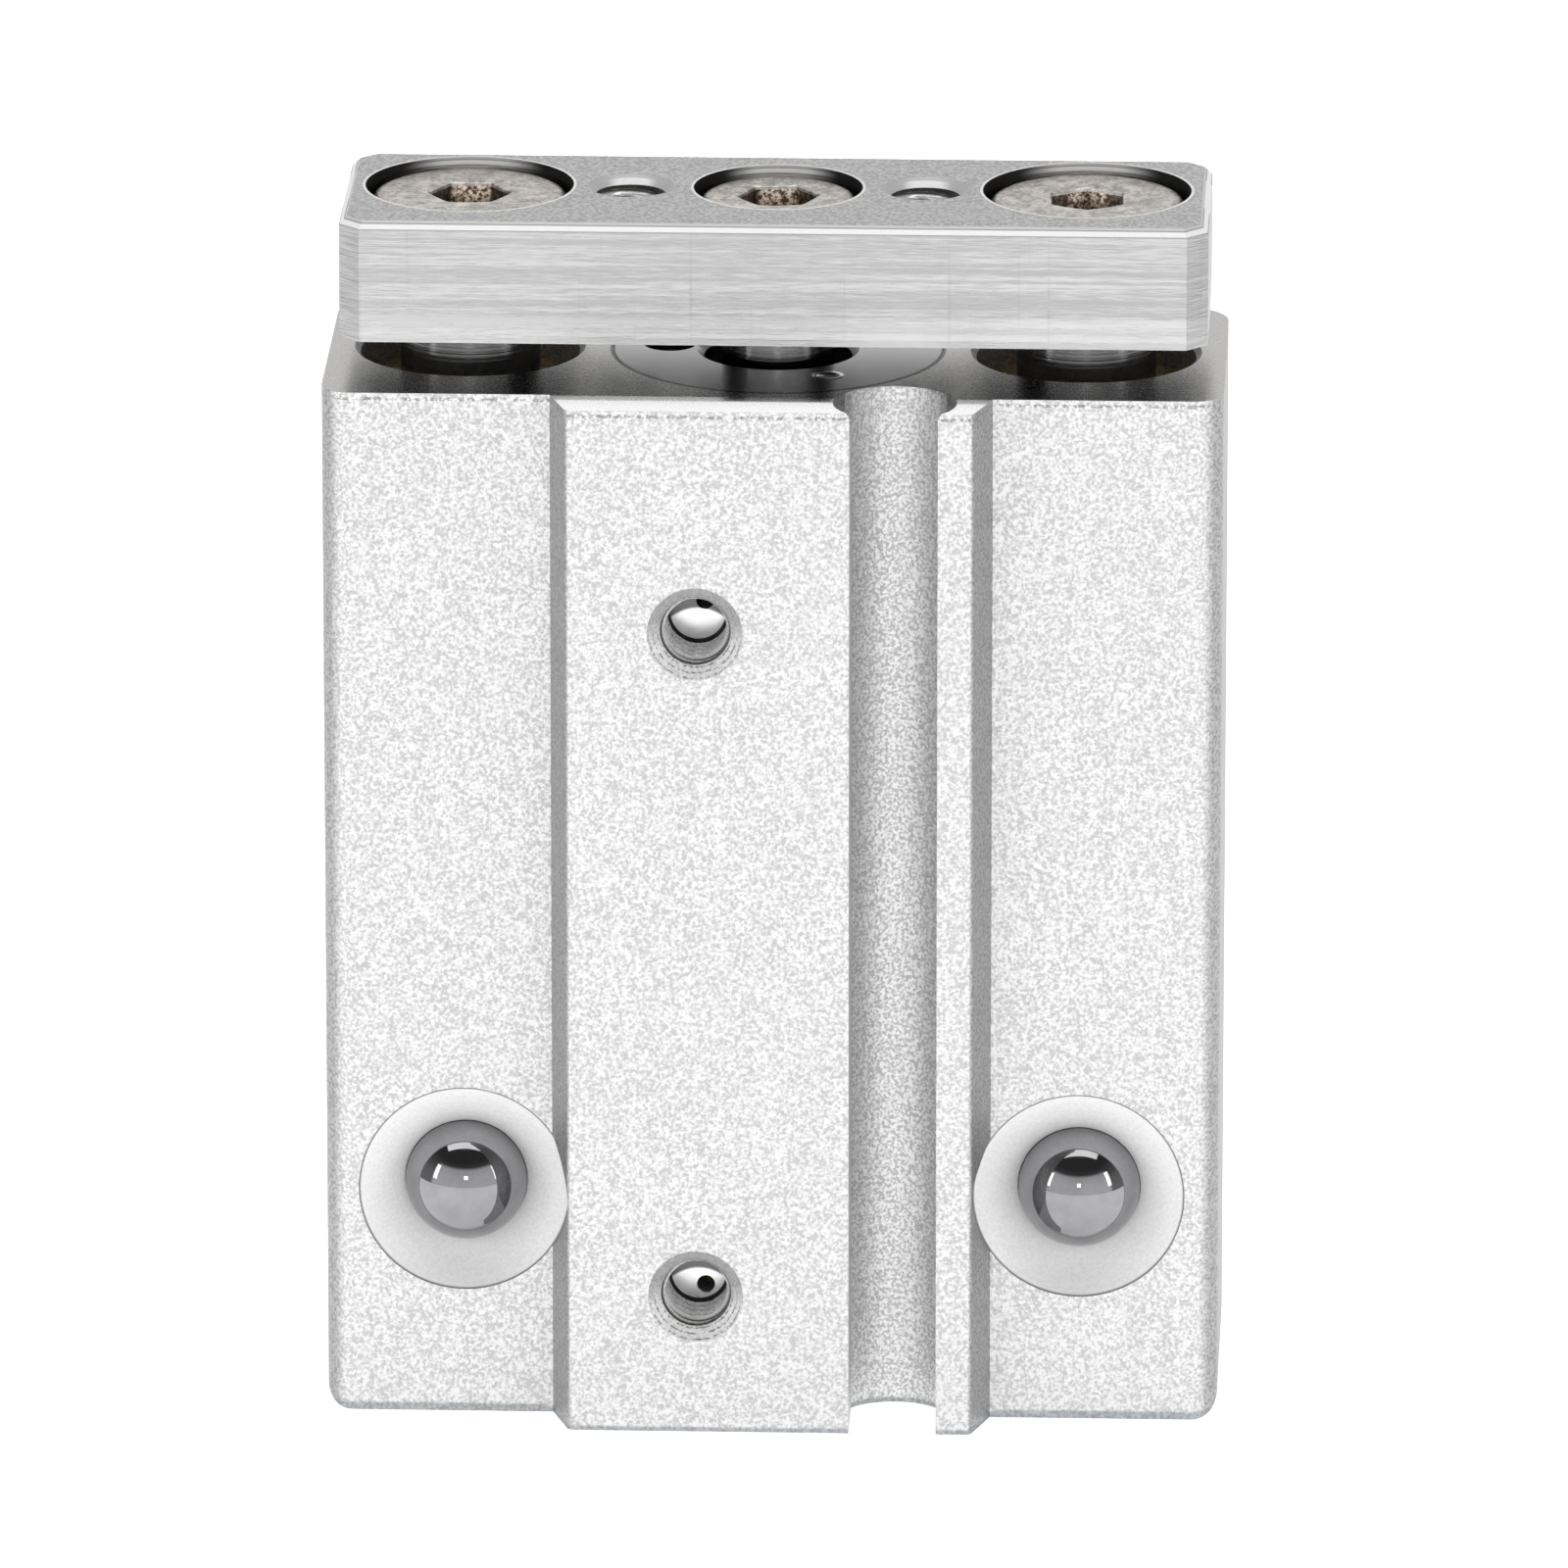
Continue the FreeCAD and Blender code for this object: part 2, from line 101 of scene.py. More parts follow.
def turned_piece(name, radii, levels, origin, axis, body, material, poles=True, start=0.0):
    """Surface of revolution: point = origin + axis * level + radius * (across cos, up sin).

    radii is (rows, columns), so a row need not be round; levels is (rows,) or the same
    shape. With poles the first and last rows shrink to one point; without them the rows
    join into a closed ring."""
    rows, columns = radii.shape
    axis = Vector(axis)
    across = Vector((1, 0, 0)) if abs(axis.x) < 0.5 else Vector((0, 1, 0))
    up = axis.cross(across)
    angle = start + 2 * np.pi * np.arange(columns) / columns
    levels = np.broadcast_to(np.asarray(levels).reshape(rows, -1), radii.shape)
    ring = np.outer(np.cos(angle), across) + np.outer(np.sin(angle), up)
    points = (np.array(origin) + levels[..., None] * np.array(axis)
              + radii[..., None] * ring[None]).reshape(-1, 3)
    faces = grid_faces(rows, columns, not poles).tolist()
    if poles:
        first = len(points)
        points = np.vstack([points, points[:columns].mean(0), points[-columns:].mean(0)])
        spokes = np.arange(columns)
        following = (spokes + 1) % columns
        last_row = (rows - 1) * columns
        faces += np.stack([following, spokes, np.full(columns, first)], 1).tolist()
        faces += np.stack([last_row + spokes, last_row + following,
                           np.full(columns, first + 1)], 1).tolist()
    return make_piece(name, points, faces, body, material)


def rounded_profile(corners, steps=5):
    """Open profile with arcs: each corner is (radius, level, fillet).

    A fillet starts and ends where its arc meets both runs, and between them the points
    follow the curve start (1-t)^2 + corner 2t(1-t) + end t^2."""
    rows = []
    for index, (radius, level, fillet) in enumerate(corners):
        here = np.array([radius, level])
        if fillet == 0 or index in (0, len(corners) - 1):
            rows.append(here)
            continue
        before = np.array(corners[index - 1][:2]) - here
        after = np.array(corners[index + 1][:2]) - here
        start = here + before / np.linalg.norm(before) * fillet
        end = here + after / np.linalg.norm(after) * fillet
        t = np.linspace(0, 1, steps)[:, None]
        rows.extend((1 - t) ** 2 * start + 2 * t * (1 - t) * here + t ** 2 * end)
    return np.array(rows)


print("a plain ring of 4 rows and 12 columns has", len(grid_faces(4, 12, True)), "faces")

# %% [markdown]
# ## Writing a finish as arithmetic
# A material is a graph of nodes. Placing each Math node by hand hides the idea, so one
# small class wraps an output socket, and + - * < > on it add the nodes. Any other node
# comes from a single method that takes its type, its settings and its sockets. A finish
# is then a few masks, which are numbers from 0 to 1, and colours mixed by them.

# %% Sockets that can be added and multiplied
class Wire:
    """An output socket; arithmetic on it adds Math nodes to the same graph."""

    def __init__(self, graph, socket):
        self.graph = graph
        self.socket = socket

    def __add__(self, other):
        return self.graph.maths("ADD", self, other)

    def __radd__(self, other):
        return self.graph.maths("ADD", other, self)

    def __sub__(self, other):
        return self.graph.maths("SUBTRACT", self, other)

    def __rsub__(self, other):
        return self.graph.maths("SUBTRACT", other, self)

    def __mul__(self, other):
        return self.graph.maths("MULTIPLY", self, other)

    def __rmul__(self, other):
        return self.graph.maths("MULTIPLY", other, self)

    def __lt__(self, other):
        return self.graph.maths("LESS_THAN", self, other)

    def __gt__(self, other):
        return self.graph.maths("GREATER_THAN", self, other)

    def __abs__(self):
        return self.graph.maths("ABSOLUTE", self)


class Graph:
    """A node tree, with one method that adds any node to it."""

    def __init__(self, tree):
        self.tree = tree

    def feed(self, socket, value):
        """Links a wire to the socket, or sets the socket to a plain value."""
        if isinstance(value, Wire):
            self.tree.links.new(value.socket, socket)
        else:
            socket.default_value = value

    def node(self, kind, settings=None, sockets=None, output=0):
        """Adds a node: settings first, then each socket's value or link."""
        made = self.tree.nodes.new(kind)
        for setting, value in (settings or {}).items():
            if setting == "stops":
                ramp = made.color_ramp.elements
                while len(ramp) < len(value):
                    ramp.new(1.0)
                for element, (position, colour) in zip(ramp, value):
                    element.position = position
                    element.color = colour
            else:
                setattr(made, setting, value)
        for socket, value in (sockets or {}).items():
            self.feed(made.inputs[socket], value)
        return Wire(self, made.outputs[output])

    def maths(self, operation, *values):
        """A Math node; its inputs are taken in order."""
        return self.node("ShaderNodeMath", {"operation": operation}, dict(enumerate(values)))

    def vector(self, operation, *values, output=0):
        """A Vector Math node; its inputs are taken in order."""
        return self.node("ShaderNodeVectorMath", {"operation": operation},
                         dict(enumerate(values)), output)

    def axes(self, vector):
        """The three numbers of a vector."""
        split = self.node("ShaderNodeSeparateXYZ", None, {0: vector})
        outputs = split.socket.node.outputs
        return [Wire(self, outputs[index]) for index in range(3)]

    def mix(self, factor, first, second, blend="MIX"):
        """Colour first where factor is 0 and second, blended with it, where it is 1."""
        return self.node("ShaderNodeMix", {"data_type": "RGBA", "blend_type": blend},
                         {0: factor, 6: first, 7: second}, output=2)

    def ramp(self, value, low, high):
        """0 at low, 1 at high, smooth between; low may be the larger of the two."""
        return self.node("ShaderNodeMapRange", {"interpolation_type": "SMOOTHSTEP"},
                         {"Value": value, "From Min": low, "From Max": high})


print("wires add, subtract, multiply and compare")

# %% [markdown]
# ## What every finish needs
# A real finish is the same stuff wherever the piece is carried, so its pattern reads the
# place on the object itself, here in millimetres. Grains come from a smooth random field,
# and the marks of a lathe or a grinder from the same field fed with one number only: it
# then stays constant wherever that number does, which draws rings or fine lines.

# %% Finishes
class Finish(Graph):
    """A material under construction, with its Principled shader at hand."""

    def __init__(self, name, **constants):
        self.material = bpy.data.materials.new(name)
        self.material.use_nodes = True
        super().__init__(self.material.node_tree)
        self.shader = self.tree.nodes["Principled BSDF"]
        for socket, value in constants.items():
            self.shader.inputs[socket.replace("_", " ")].default_value = value
        metres = self.node("ShaderNodeTexCoord", output="Object")
        self.place = self.vector("MULTIPLY", metres, (1 / MM, 1 / MM, 1 / MM))

    def stretched(self, x, y, z):
        """The place in millimetres, multiplied along each axis."""
        return self.vector("MULTIPLY", self.place, (x, y, z))

    def facing(self):
        """The three numbers of the surface's own direction."""
        return self.axes(self.node("ShaderNodeNewGeometry", output="Normal"))

    def noise(self, place, scale, detail=2.0, roughness=0.5):
        """Smooth random field from 0 to 1; scale is features per unit of place."""
        return self.node("ShaderNodeTexNoise", {"noise_dimensions": "3D"},
                         {"Vector": place, "Scale": scale, "Detail": detail,
                          "Roughness": roughness})

    def marks(self, track, detail):
        """Tool marks: a random field of one number, so constant wherever that number is."""
        return self.noise(self.node("ShaderNodeCombineXYZ", None, {0: track}), 1.0, detail)

    def distance(self, centre, weights):
        """Distance in millimetres to a centre, along the axes whose weight is 1."""
        offset = self.vector("SUBTRACT", self.place, centre)
        offset = self.vector("MULTIPLY", offset, weights)
        return self.vector("LENGTH", offset, output="Value")

    def bump(self, height, depth):
        """Feeds a height of 0 to 1, depth millimetres deep, to the surface's normal."""
        normal = self.node("ShaderNodeBump", None,
                           {"Height": height, "Distance": depth * MM, "Strength": 1.0})
        self.feed(self.shader.inputs["Normal"], normal)

    def surface(self, **channels):
        """Feeds the Principled shader's sockets and hands over the material."""
        for socket, value in channels.items():
            self.feed(self.shader.inputs[socket.replace("_", " ")], value)
        return self.material


ALONG_BORE = (1, 1, 0)
ALONG_PORT = (1, 0, 1)


def grey(value, warmth=0.0):
    """A grey; warmth lifts the red and lowers the blue by the same share."""
    return (value * (1 + warmth), value, value * (1 - warmth), 1.0)


def dress(name, material):
    """Gives a node of the frame one material in place of the plain one."""
    nodes[name].data.materials.clear()
    nodes[name].data.materials.append(material)


def middle_of(name):
    """The middle of a node's box, in millimetres."""
    low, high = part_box(name)
    return (low + high) / 2 / MM


print("the left ball sits at", [round(value, 2) for value in middle_of("left_steel_ball")])

# %% [markdown]
# ## The body: where the balls went in
# Each cross hole was closed with a steel ball, and the cutter that made room for it left
# a satin cone with faint rings. A crisp dark line where the cone meets the blasted face
# is painted shade along that edge. All of that depends only on the distance from the
# hole's axis. The mask stops at the flanges' own faces, because the blasting was done
# before the cone was cut.

# %% Masks for the countersinks
CONE_RADIUS = 3.80
FLANGE_SETBACK = 2.0
BALL_HEIGHT = middle_of("left_steel_ball").z
GUIDE_X = abs(middle_of("left_steel_ball").x)


def countersink_masks(finish, y):
    """Where the cones are, the painted-shade line round them, and their rings."""
    turned, edge, rings = 0.0, 0.0, 0.0
    for side in (-1, 1):
        reach = finish.distance((side * GUIDE_X, 0, BALL_HEIGHT), ALONG_PORT)
        inside = reach < CONE_RADIUS
        # painted shade: a thin dark line along each cone's outer edge
        line = finish.ramp(reach, CONE_RADIUS - 0.10, CONE_RADIUS - 0.02)
        turned = inside + turned
        edge = line * (reach < CONE_RADIUS + 0.04) + edge
        rings = finish.marks(reach * 5.0, 2.0) * inside + rings
    recess = (y < 0.0) * (y > BODY_FRONT + FLANGE_SETBACK)
    return turned * recess, edge * recess, rings


print("countersinks", round(2 * GUIDE_X, 2), "mm apart,", round(BALL_HEIGHT, 2), "mm up")

# %% [markdown]
# ## The body: the ports
# A port is a drilled and tapped hole with a lead cut in front. Its flat floor is painted
# white for the light on it, with a painted shadow over its top, where the drill's wall
# overhangs it, and a black ring of painted shade where the last turn ran out. The lead is
# bright below and painted dark above as shade, and broken dark lines of painted shade
# stand for the thread's first turns on its lower half. The solid has no such small steps,
# so these are colours by place, measured as the height over the port's axis.

# %% Masks for the ports
PORT_CORE = 1.27
PORT_MOUTH = 1.72
PORT_FLOOR = 2.5
RUN_OUT = 0.98
FLOOR_CURVE = 0.37
BROW = (-0.9, 0.6)
LOWER_HALF = (0.2, -0.5)
LEAD_TURN = 0.16


def port_masks(finish, place, faced, flecks):
    """Masks by name: floor, painted light; its back, a painted shadow, and its ring; lead,
    its brow and first turns. Ring, brow and turns are painted shade.

    The back lies above a curve, where rise + curve * aside^2 passes a small height."""
    x, y, z = place
    masks = dict.fromkeys(("floor", "back", "ring", "lead", "brow", "turns"), 0.0)
    front = (y < BODY_FRONT + PORT_FLOOR + 0.5) * (1 - faced)
    for name in ("rod_port", "head_port"):
        mouth = Vector(mounts[name]["pos_m"]) / MM
        reach = finish.distance((mouth.x, 0, mouth.z), ALONG_PORT)
        aside = x - mouth.x
        rise = z - mouth.z
        floor = (reach < PORT_CORE) * (y > BODY_FRONT + PORT_FLOOR) * front
        lead = (reach > PORT_CORE) * (reach < PORT_MOUTH) * (y > BODY_FRONT + 0.01) * front
        track = (reach - PORT_CORE - 0.05) * (1 / LEAD_TURN)
        lines = finish.ramp(finish.maths("PINGPONG", track, 0.5), 0.2, 0.05)
        # floor: painted light; back: painted shadow of the wall; ring, brow, turns: painted shade
        found = {
            "floor": floor,
            "back": floor * finish.ramp(rise + aside * aside * FLOOR_CURVE, 0.10, 0.22),
            "ring": floor * (reach > RUN_OUT),
            "lead": lead,
            "brow": lead * finish.ramp(rise, *BROW),
            "turns": lead * lines * finish.ramp(rise, *LOWER_HALF) * (1 - flecks)}
        masks = {part: found[part] + masks[part] for part in masks}
    return masks


print("ports of", 2 * PORT_MOUTH, "mm across their leads")

# %% [markdown]
# ## The body: its faced top
# The top was faced with a large cutter that passed from one side, so its faint arcs have
# their middle well outside the body. It lies in the plate's shade, painted into its greys:
# greyer round the cover, darker round the guide rods and lighter at the outer ends. The
# raised rail's front edge was rolled over by the blasting. A bump that climbs towards the
# front tips that edge to the light, and its near-white colour is a painted highlight. A
# black ring of painted shade parts the cover from its bore.

# %% Colours of the faced top
COVER_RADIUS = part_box("rod_cover")[1].x / MM
CUTTER_MIDDLE = (9.0, 40.0, 0.0)
ROUND_RODS = (6.4, 8.0)
OUTER_ENDS = (13.4, 15.6)
ROLLED_EDGE = (-6.5, -7.1)
PARTING_GAP = 0.12


def faced_top(finish, across, y, faced):
    """Colour of the top with painted shade, a painted highlight and painted gap shade; the cutter's
    arcs; the mask of its rolled front edge.
    """
    arcs = finish.marks(finish.distance(CUTTER_MIDDLE, ALONG_BORE) * 9.0, 3.0)
    # painted shade: dark greys for the plate's shade, darkest round the guide rods
    near = finish.mix(arcs, grey(0.30, 0.03), grey(0.40, 0.02))
    far = finish.mix(arcs, grey(0.10, 0.04), grey(0.16, 0.03))
    colour = finish.mix(finish.ramp(across, *ROUND_RODS), near, far)
    colour = finish.mix(finish.ramp(across, *OUTER_ENDS), colour, grey(0.34, 0.02))
    lip = finish.ramp(y, *ROLLED_EDGE) * faced
    # painted highlight: the rolled front edge is near-white
    colour = finish.mix(lip, colour, grey(0.97))
    # painted shade: a black ring in the gap round the cover
    painted_gap_shade = (finish.distance((0, 0, 0), ALONG_BORE) < COVER_RADIUS + PARTING_GAP) * faced
    return finish.mix(painted_gap_shade, colour, grey(0.03)), arcs, lip


print("cover of", round(2 * COVER_RADIUS, 2), "mm across")

# %% [markdown]
# ## The body: blasted and clear anodised
# Blasting leaves a field of small round dents, so one fine noise makes the light and dark
# flecks, it and a finer one drive the bump, and a slow one drifts over each face. Faces
# that turn sideways are painted greyer as shade, except in the groove, whose bottom has
# brighter, harsher flecks as a painted highlight. A bluish line of painted shade runs
# along the foot, where the sawn edge was eased, and a broken dark line runs just under the
# top edge. Countersinks, ports and top go over this in the order in which they were cut.

# %% The body's finish
GROOVE_LEFT = 2.6
GROOVE_RIGHT = 6.2
SIDEWAYS = (0.32, 0.78)
FLANGE_EDGE = (7.6, 8.4)
FOOT_LINE = (0.24, 0.10)
DARK_LINE_BELOW = 0.28
DARK_LINE_ABOVE = 0.16
ROLL_SLOPE = 14


def blasted_skin(finish, flecks, grain, sideways, groove):
    """Flecked grey, with painted shade where it faces sideways and a painted highlight of brighter
    flecks in the groove.
    """
    drift = finish.noise(finish.place, scale=0.28)
    colour = finish.mix(flecks, grey(0.50), grey(0.80))
    colour = finish.mix(drift * 0.25, colour, grey(0.67))
    # painted shade: faces that turn sideways are darker, except in the groove
    side_shade = finish.mix(groove, finish.mix(flecks, grey(0.30), grey(0.47)),
                         finish.mix(flecks, grey(0.50), grey(0.84)))
    colour = finish.mix(sideways, colour, side_shade)
    # painted highlight: the blasted flecks, brighter and harsher along the groove's bottom
    groove_highlight = finish.mix(finish.ramp(grain, 0.42, 0.58), grey(0.54), grey(0.98))
    return finish.mix(groove * (1 - sideways) * 0.6, colour, groove_highlight)


def blasted_aluminium():
    """Blasted outside, faced top, turned countersinks and ports, told apart by place."""
    finish = Finish("blasted_aluminium", Metallic=1.0)
    x, y, z = finish.axes(finish.place)
    across = abs(x)
    faced = z > BODY_TOP - 0.01
    grain = finish.noise(finish.place, scale=8.5, roughness=0.6)
    dents = finish.noise(finish.place, scale=12.0, detail=1.0)
    flecks = finish.ramp(grain, 0.34, 0.64)

    turned, edge, rings = countersink_masks(finish, y)
    groove = (x > GROOVE_LEFT) * (x < GROOVE_RIGHT) * (y < 0.0) * (y > BODY_FRONT + 0.03)
    sideways = finish.ramp(abs(finish.facing()[0]), *SIDEWAYS) * (1 - faced) * (1 - turned)
    colour = blasted_skin(finish, flecks, grain, sideways, groove)

    satin = finish.mix(rings, grey(0.92), grey(1.0))
    satin = finish.mix((1 - flecks) * 0.5, satin, grey(0.80))
    # the dark line round each cone is painted shade
    colour = finish.mix(turned, colour, finish.mix(edge * 0.9, satin, grey(0.12)))

    port = port_masks(finish, (x, y, z), faced, flecks)
    # the ports' white floor is painted light; back, ring, brow and turns are painted shade
    colour = finish.mix(port["floor"], colour, grey(1.0))
    colour = finish.mix(port["back"], colour, grey(0.14))
    colour = finish.mix(port["ring"], colour, grey(0.05))
    colour = finish.mix(port["lead"], colour, finish.mix(flecks, grey(0.78), grey(1.0)))
    colour = finish.mix(port["brow"], colour, finish.mix(flecks, grey(0.32), grey(0.46)))
    colour = finish.mix(port["turns"] * 0.9, colour, grey(0.10))

    flange = finish.ramp(across, *FLANGE_EDGE)
    # painted shade: a bluish dark line along the eased foot
    foot = finish.ramp(z - flange * 0.12, *FOOT_LINE)
    bluish = finish.mix(flecks, grey(0.26, -0.06), grey(0.36, -0.06))
    colour = finish.mix(foot * 0.75, colour, bluish)
    # a broken dark line just under the top edge
    under_edge = (z > BODY_TOP - DARK_LINE_BELOW) * (z < BODY_TOP - DARK_LINE_ABOVE)
    broken_dark_line = under_edge * (1 - flecks) * (y < -6.0)
    colour = finish.mix(broken_dark_line * 0.8, colour, grey(0.25))
    top, arcs, lip = faced_top(finish, across, y, faced)
    colour = finish.mix(faced, colour, top)

    smooth = finish.maths("MAXIMUM", faced, turned * 0.7)
    rolled = (y - BODY_FRONT) * lip * ROLL_SLOPE
    finish.bump((grain * 0.6 + dents * 0.4) * (1 - smooth) * (1 - port["floor"])
                + arcs * 0.12 * faced + rolled, depth=0.04)
    roughness = 0.50 - flecks * 0.06 - faced * 0.24 + arcs * 0.06 - port["floor"] * 0.28
    metallic = 1 - turned * 0.88 - lip * 0.8 - port["lead"] * 0.7 - port["floor"] * 0.25
    return finish.surface(Base_Color=colour, Roughness=roughness, Metallic=metallic)


dress("body", blasted_aluminium())
print("body finished over", round(BODY_TOP, 1), "mm of height")

# %% [markdown]
# ## The end plate
# The plate was sawn and milled from bar, then anodised: long fine lines run along its
# front, a few short strokes cross them, and its top has a close matt grain. A noise that
# is stretched many times along X gives the lines without drawing any of them, and one
# stretched along Z gives the upright strokes. A paler band along the front's foot is
# painted light, and the cut corners are painted greyer as shade. The bevel round the top
# is painted pale as a highlight, with a thin dark line of painted shade on each side.
# Each counterbore has a pale rim, a painted highlight, and its walls are painted dark as
# shade where they turn sideways.

# %% The plate's colours
COUNTERBORE_CLEARANCE = 0.265
BEVEL = 0.31
PLATE_PITCH = mounts["plate_threads"]["dims"]["spacing_x_mm"]
THREAD_ZONE = 1.9


def brushed_front(finish, z, lines):
    """Long lines, upright strokes, a paler band of painted light along the foot, and cut corners
    greyer with painted shade.
    """
    strokes = finish.noise(finish.stretched(4.0, 1.0, 0.07), scale=1.0)
    band = finish.ramp(z, PLATE_FOOT + 1.15, PLATE_FOOT + 0.85)
    corner = finish.ramp(abs(finish.facing()[0]), 0.25, 0.45)
    colour = finish.mix(lines, grey(0.43), grey(0.60))
    colour = finish.mix(finish.ramp(strokes, 0.62, 0.76) * 0.30, colour, grey(0.34))
    # painted light: a paler band along the front's foot
    colour = finish.mix(band * 0.4, colour, grey(0.72))
    # painted shade: cut corners greyer where they face sideways
    return finish.mix(corner * 0.45, colour, grey(0.34))


def pale_bevel(finish, x, y, z):
    """Two pale steps of painted highlight with dark lines of painted shade, and sides round the
    thread holes greyer with painted shade.
    """
    edge_line = (z > PLATE_TOP - 0.12) * (z < PLATE_TOP - 0.08)
    foot_line = (z > PLATE_TOP - BEVEL) * (z < PLATE_TOP - BEVEL + 0.04)
    beside = abs(abs(x) - PLATE_PITCH / 2)
    sides = finish.ramp(beside, 0.45, 0.95) * (beside < THREAD_ZONE) * (abs(y) < THREAD_ZONE)
    # painted highlight: the bevel's two pale steps
    colour = finish.mix(z > PLATE_TOP - 0.10, grey(1.0), grey(0.66))
    # painted shade: greyer sides round the thread holes
    colour = finish.mix(sides, colour, grey(0.60))
    # painted shade: a thin dark line along each edge of the bevel
    return finish.mix((edge_line + foot_line) * 0.8 * (abs(y) > THREAD_ZONE), colour, grey(0.30))


def counterbore_masks(finish, x):
    """The sides of the three pockets, painted dark as shade, and the rims round them, painted pale
    as a highlight.
    """
    pocket, rim = 0.0, 0.0
    for name in SCREWS:
        low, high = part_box(name)
        middle = middle_of(name).x
        radius = (high.x - low.x) / 2 / MM + COUNTERBORE_CLEARANCE
        reach = finish.distance((middle, 0, 0), ALONG_BORE)
        aside = finish.ramp(abs(x - middle), 0.25 * radius, 0.7 * radius)
        # painted shade: the pockets' walls darken where they turn sideways
        pocket = (reach < radius + 0.01) * aside + pocket
        # painted highlight: a pale rim round each counterbore
        rim = (reach > radius) * (reach < radius + 0.10) + rim
    return pocket, rim


print("counterbores", len(SCREWS), "with", COUNTERBORE_CLEARANCE, "mm round each head")

# %% [markdown]
# ## The end plate: putting the finish together
# Height alone tells front, bevel and top apart, so the masks are steps on Z. The bevel
# scatters light more than it mirrors it, which a low metallic value gives.

# %% The plate's finish
def milled_plate():
    """Brushed front, matt top with counterbores, pale bevel between them, all with painted light
    and shade.
    """
    finish = Finish("milled_plate", Metallic=1.0)
    x, y, z = finish.axes(finish.place)
    upright = 1 - (z > PLATE_TOP - BEVEL)
    level = z > PLATE_TOP - 0.005
    broad = finish.noise(finish.stretched(0.05, 1.0, 5.5), scale=1.0, detail=1.0)
    hair = finish.noise(finish.stretched(1.1, 1.0, 20.0), scale=1.0, roughness=0.6)
    lines = finish.ramp(broad * 0.5 + hair * 0.5, 0.34, 0.66)
    grain = finish.noise(finish.place, scale=7.0, detail=3.0, roughness=0.6)
    pocket, rim = counterbore_masks(finish, x)

    top = finish.mix(finish.ramp(grain, 0.36, 0.64), grey(0.34), grey(0.57))
    # painted highlight on the counterbores' rims
    top = finish.mix(rim * 0.7, top, grey(0.95))
    colour = finish.mix(level, pale_bevel(finish, x, y, z), top)
    colour = finish.mix(upright, colour, brushed_front(finish, z, lines))
    # painted shade on the counterbores' sides
    colour = finish.mix(pocket * (1 - level), colour, grey(0.05))
    finish.bump(lines * 0.55 * upright + grain * (0.7 - upright * 0.5), depth=0.02)
    bevel = (1 - upright) * (1 - level) * (1 - pocket)
    return finish.surface(Base_Color=colour, Roughness=0.42 + grain * 0.08,
                          Metallic=1 - bevel * 0.9)


dress("end_plate", milled_plate())
print("plate", round((plate_high.x - plate_low.x) / MM, 1), "mm wide")

# %% [markdown]
# ## Ground chrome and turned aluminium
# Rods are hard chromed and ground: almost a mirror, with rings far too fine to see. Each
# ring tips the mirror a little up or down, so a lamp seen in it runs out into an upright
# streak. The cover and the piston are turned, so their marks depend on the distance from
# the bore's axis. The cover's dark greys are painted shade, and a black ring of painted
# shade runs round its edge. It is staked: one punched dent with a burr beside the rod,
# painted bright as a glint.

# %% Finishes for the rods, the cover and the piston
COVER_STAKE = (1.9, -3.5, 0.0)


def ground_chrome():
    """A mirror with fine rings: their height is a random field of the level alone."""
    finish = Finish("ground_chrome", Metallic=1.0)
    level = finish.axes(finish.place)[2]
    rings = finish.marks(level * 60.0, 1.0)
    finish.bump(rings, depth=0.005)
    return finish.surface(Base_Color=finish.mix(rings, grey(0.33), grey(0.40)),
                          Roughness=0.06 + rings * 0.03)


def turned_piston():
    """Turned rings over soft blotches."""
    finish = Finish("turned_piston", Metallic=1.0)
    rings = finish.marks(finish.distance((0, 0, 0), ALONG_BORE) * 6.0, 3.0)
    blotch = finish.noise(finish.place, scale=0.9, detail=3.0, roughness=0.6)
    finish.bump(rings, depth=0.004)
    return finish.surface(Base_Color=finish.mix(rings * 0.6 + blotch * 0.4, grey(0.66), grey(0.78)),
                          Roughness=0.25 + blotch * 0.04)


def turned_cover():
    """Turned disc painted dark as shade, with a black ring of painted gap shade round it and one
    centre-punch stake whose burr carries a painted glint.
    """
    finish = Finish("turned_cover", Metallic=1.0)
    reach = finish.distance((0, 0, 0), ALONG_BORE)
    rings = finish.marks(reach * 8.0, 3.0)
    blotch = finish.noise(finish.place, scale=0.9, detail=3.0, roughness=0.6)
    stake = finish.distance(COVER_STAKE, ALONG_BORE)
    dent = 1 - finish.ramp(stake, 0.10, 0.42)
    burr = finish.ramp(stake, 0.30, 0.42) * (1 - finish.ramp(stake, 0.46, 0.60))
    # painted shade: the turned disc is much darker than the piston, as under the plate
    colour = finish.mix(rings * 0.6 + blotch * 0.4, grey(0.26), grey(0.36))
    # painted highlight: a bright glint on the stake's burr
    colour = finish.mix(burr, colour, grey(0.95))
    # painted shade: a black ring round the edge for the gap to the bore
    colour = finish.mix(reach > COVER_RADIUS - 0.06, colour, grey(0.03))
    finish.bump(rings * 0.04 + burr * 0.5 - dent, depth=0.12)
    return finish.surface(Base_Color=colour, Roughness=0.24 + blotch * 0.04)


chrome = ground_chrome()
piston_finish = turned_piston()
for name, material in (("piston_rod", chrome), ("left_guide_rod", chrome),
                       ("right_guide_rod", chrome), ("rod_cover", turned_cover()),
                       ("piston", piston_finish), ("magnet_retainer", piston_finish)):
    dress(name, material)
    print(name, "is", material.name)

# %% [markdown]
# ## The hidden pieces
# Bushes are sintered bronze with open pores, seals are nitrile rubber, bumpers urethane,
# the magnet bonded ferrite and the nut phosphated steel. They show only in a section or
# at the mouth of a bore, but each gets what it is made of. One function serves them all:
# a grain with a threshold gives both the speckle and the pits.

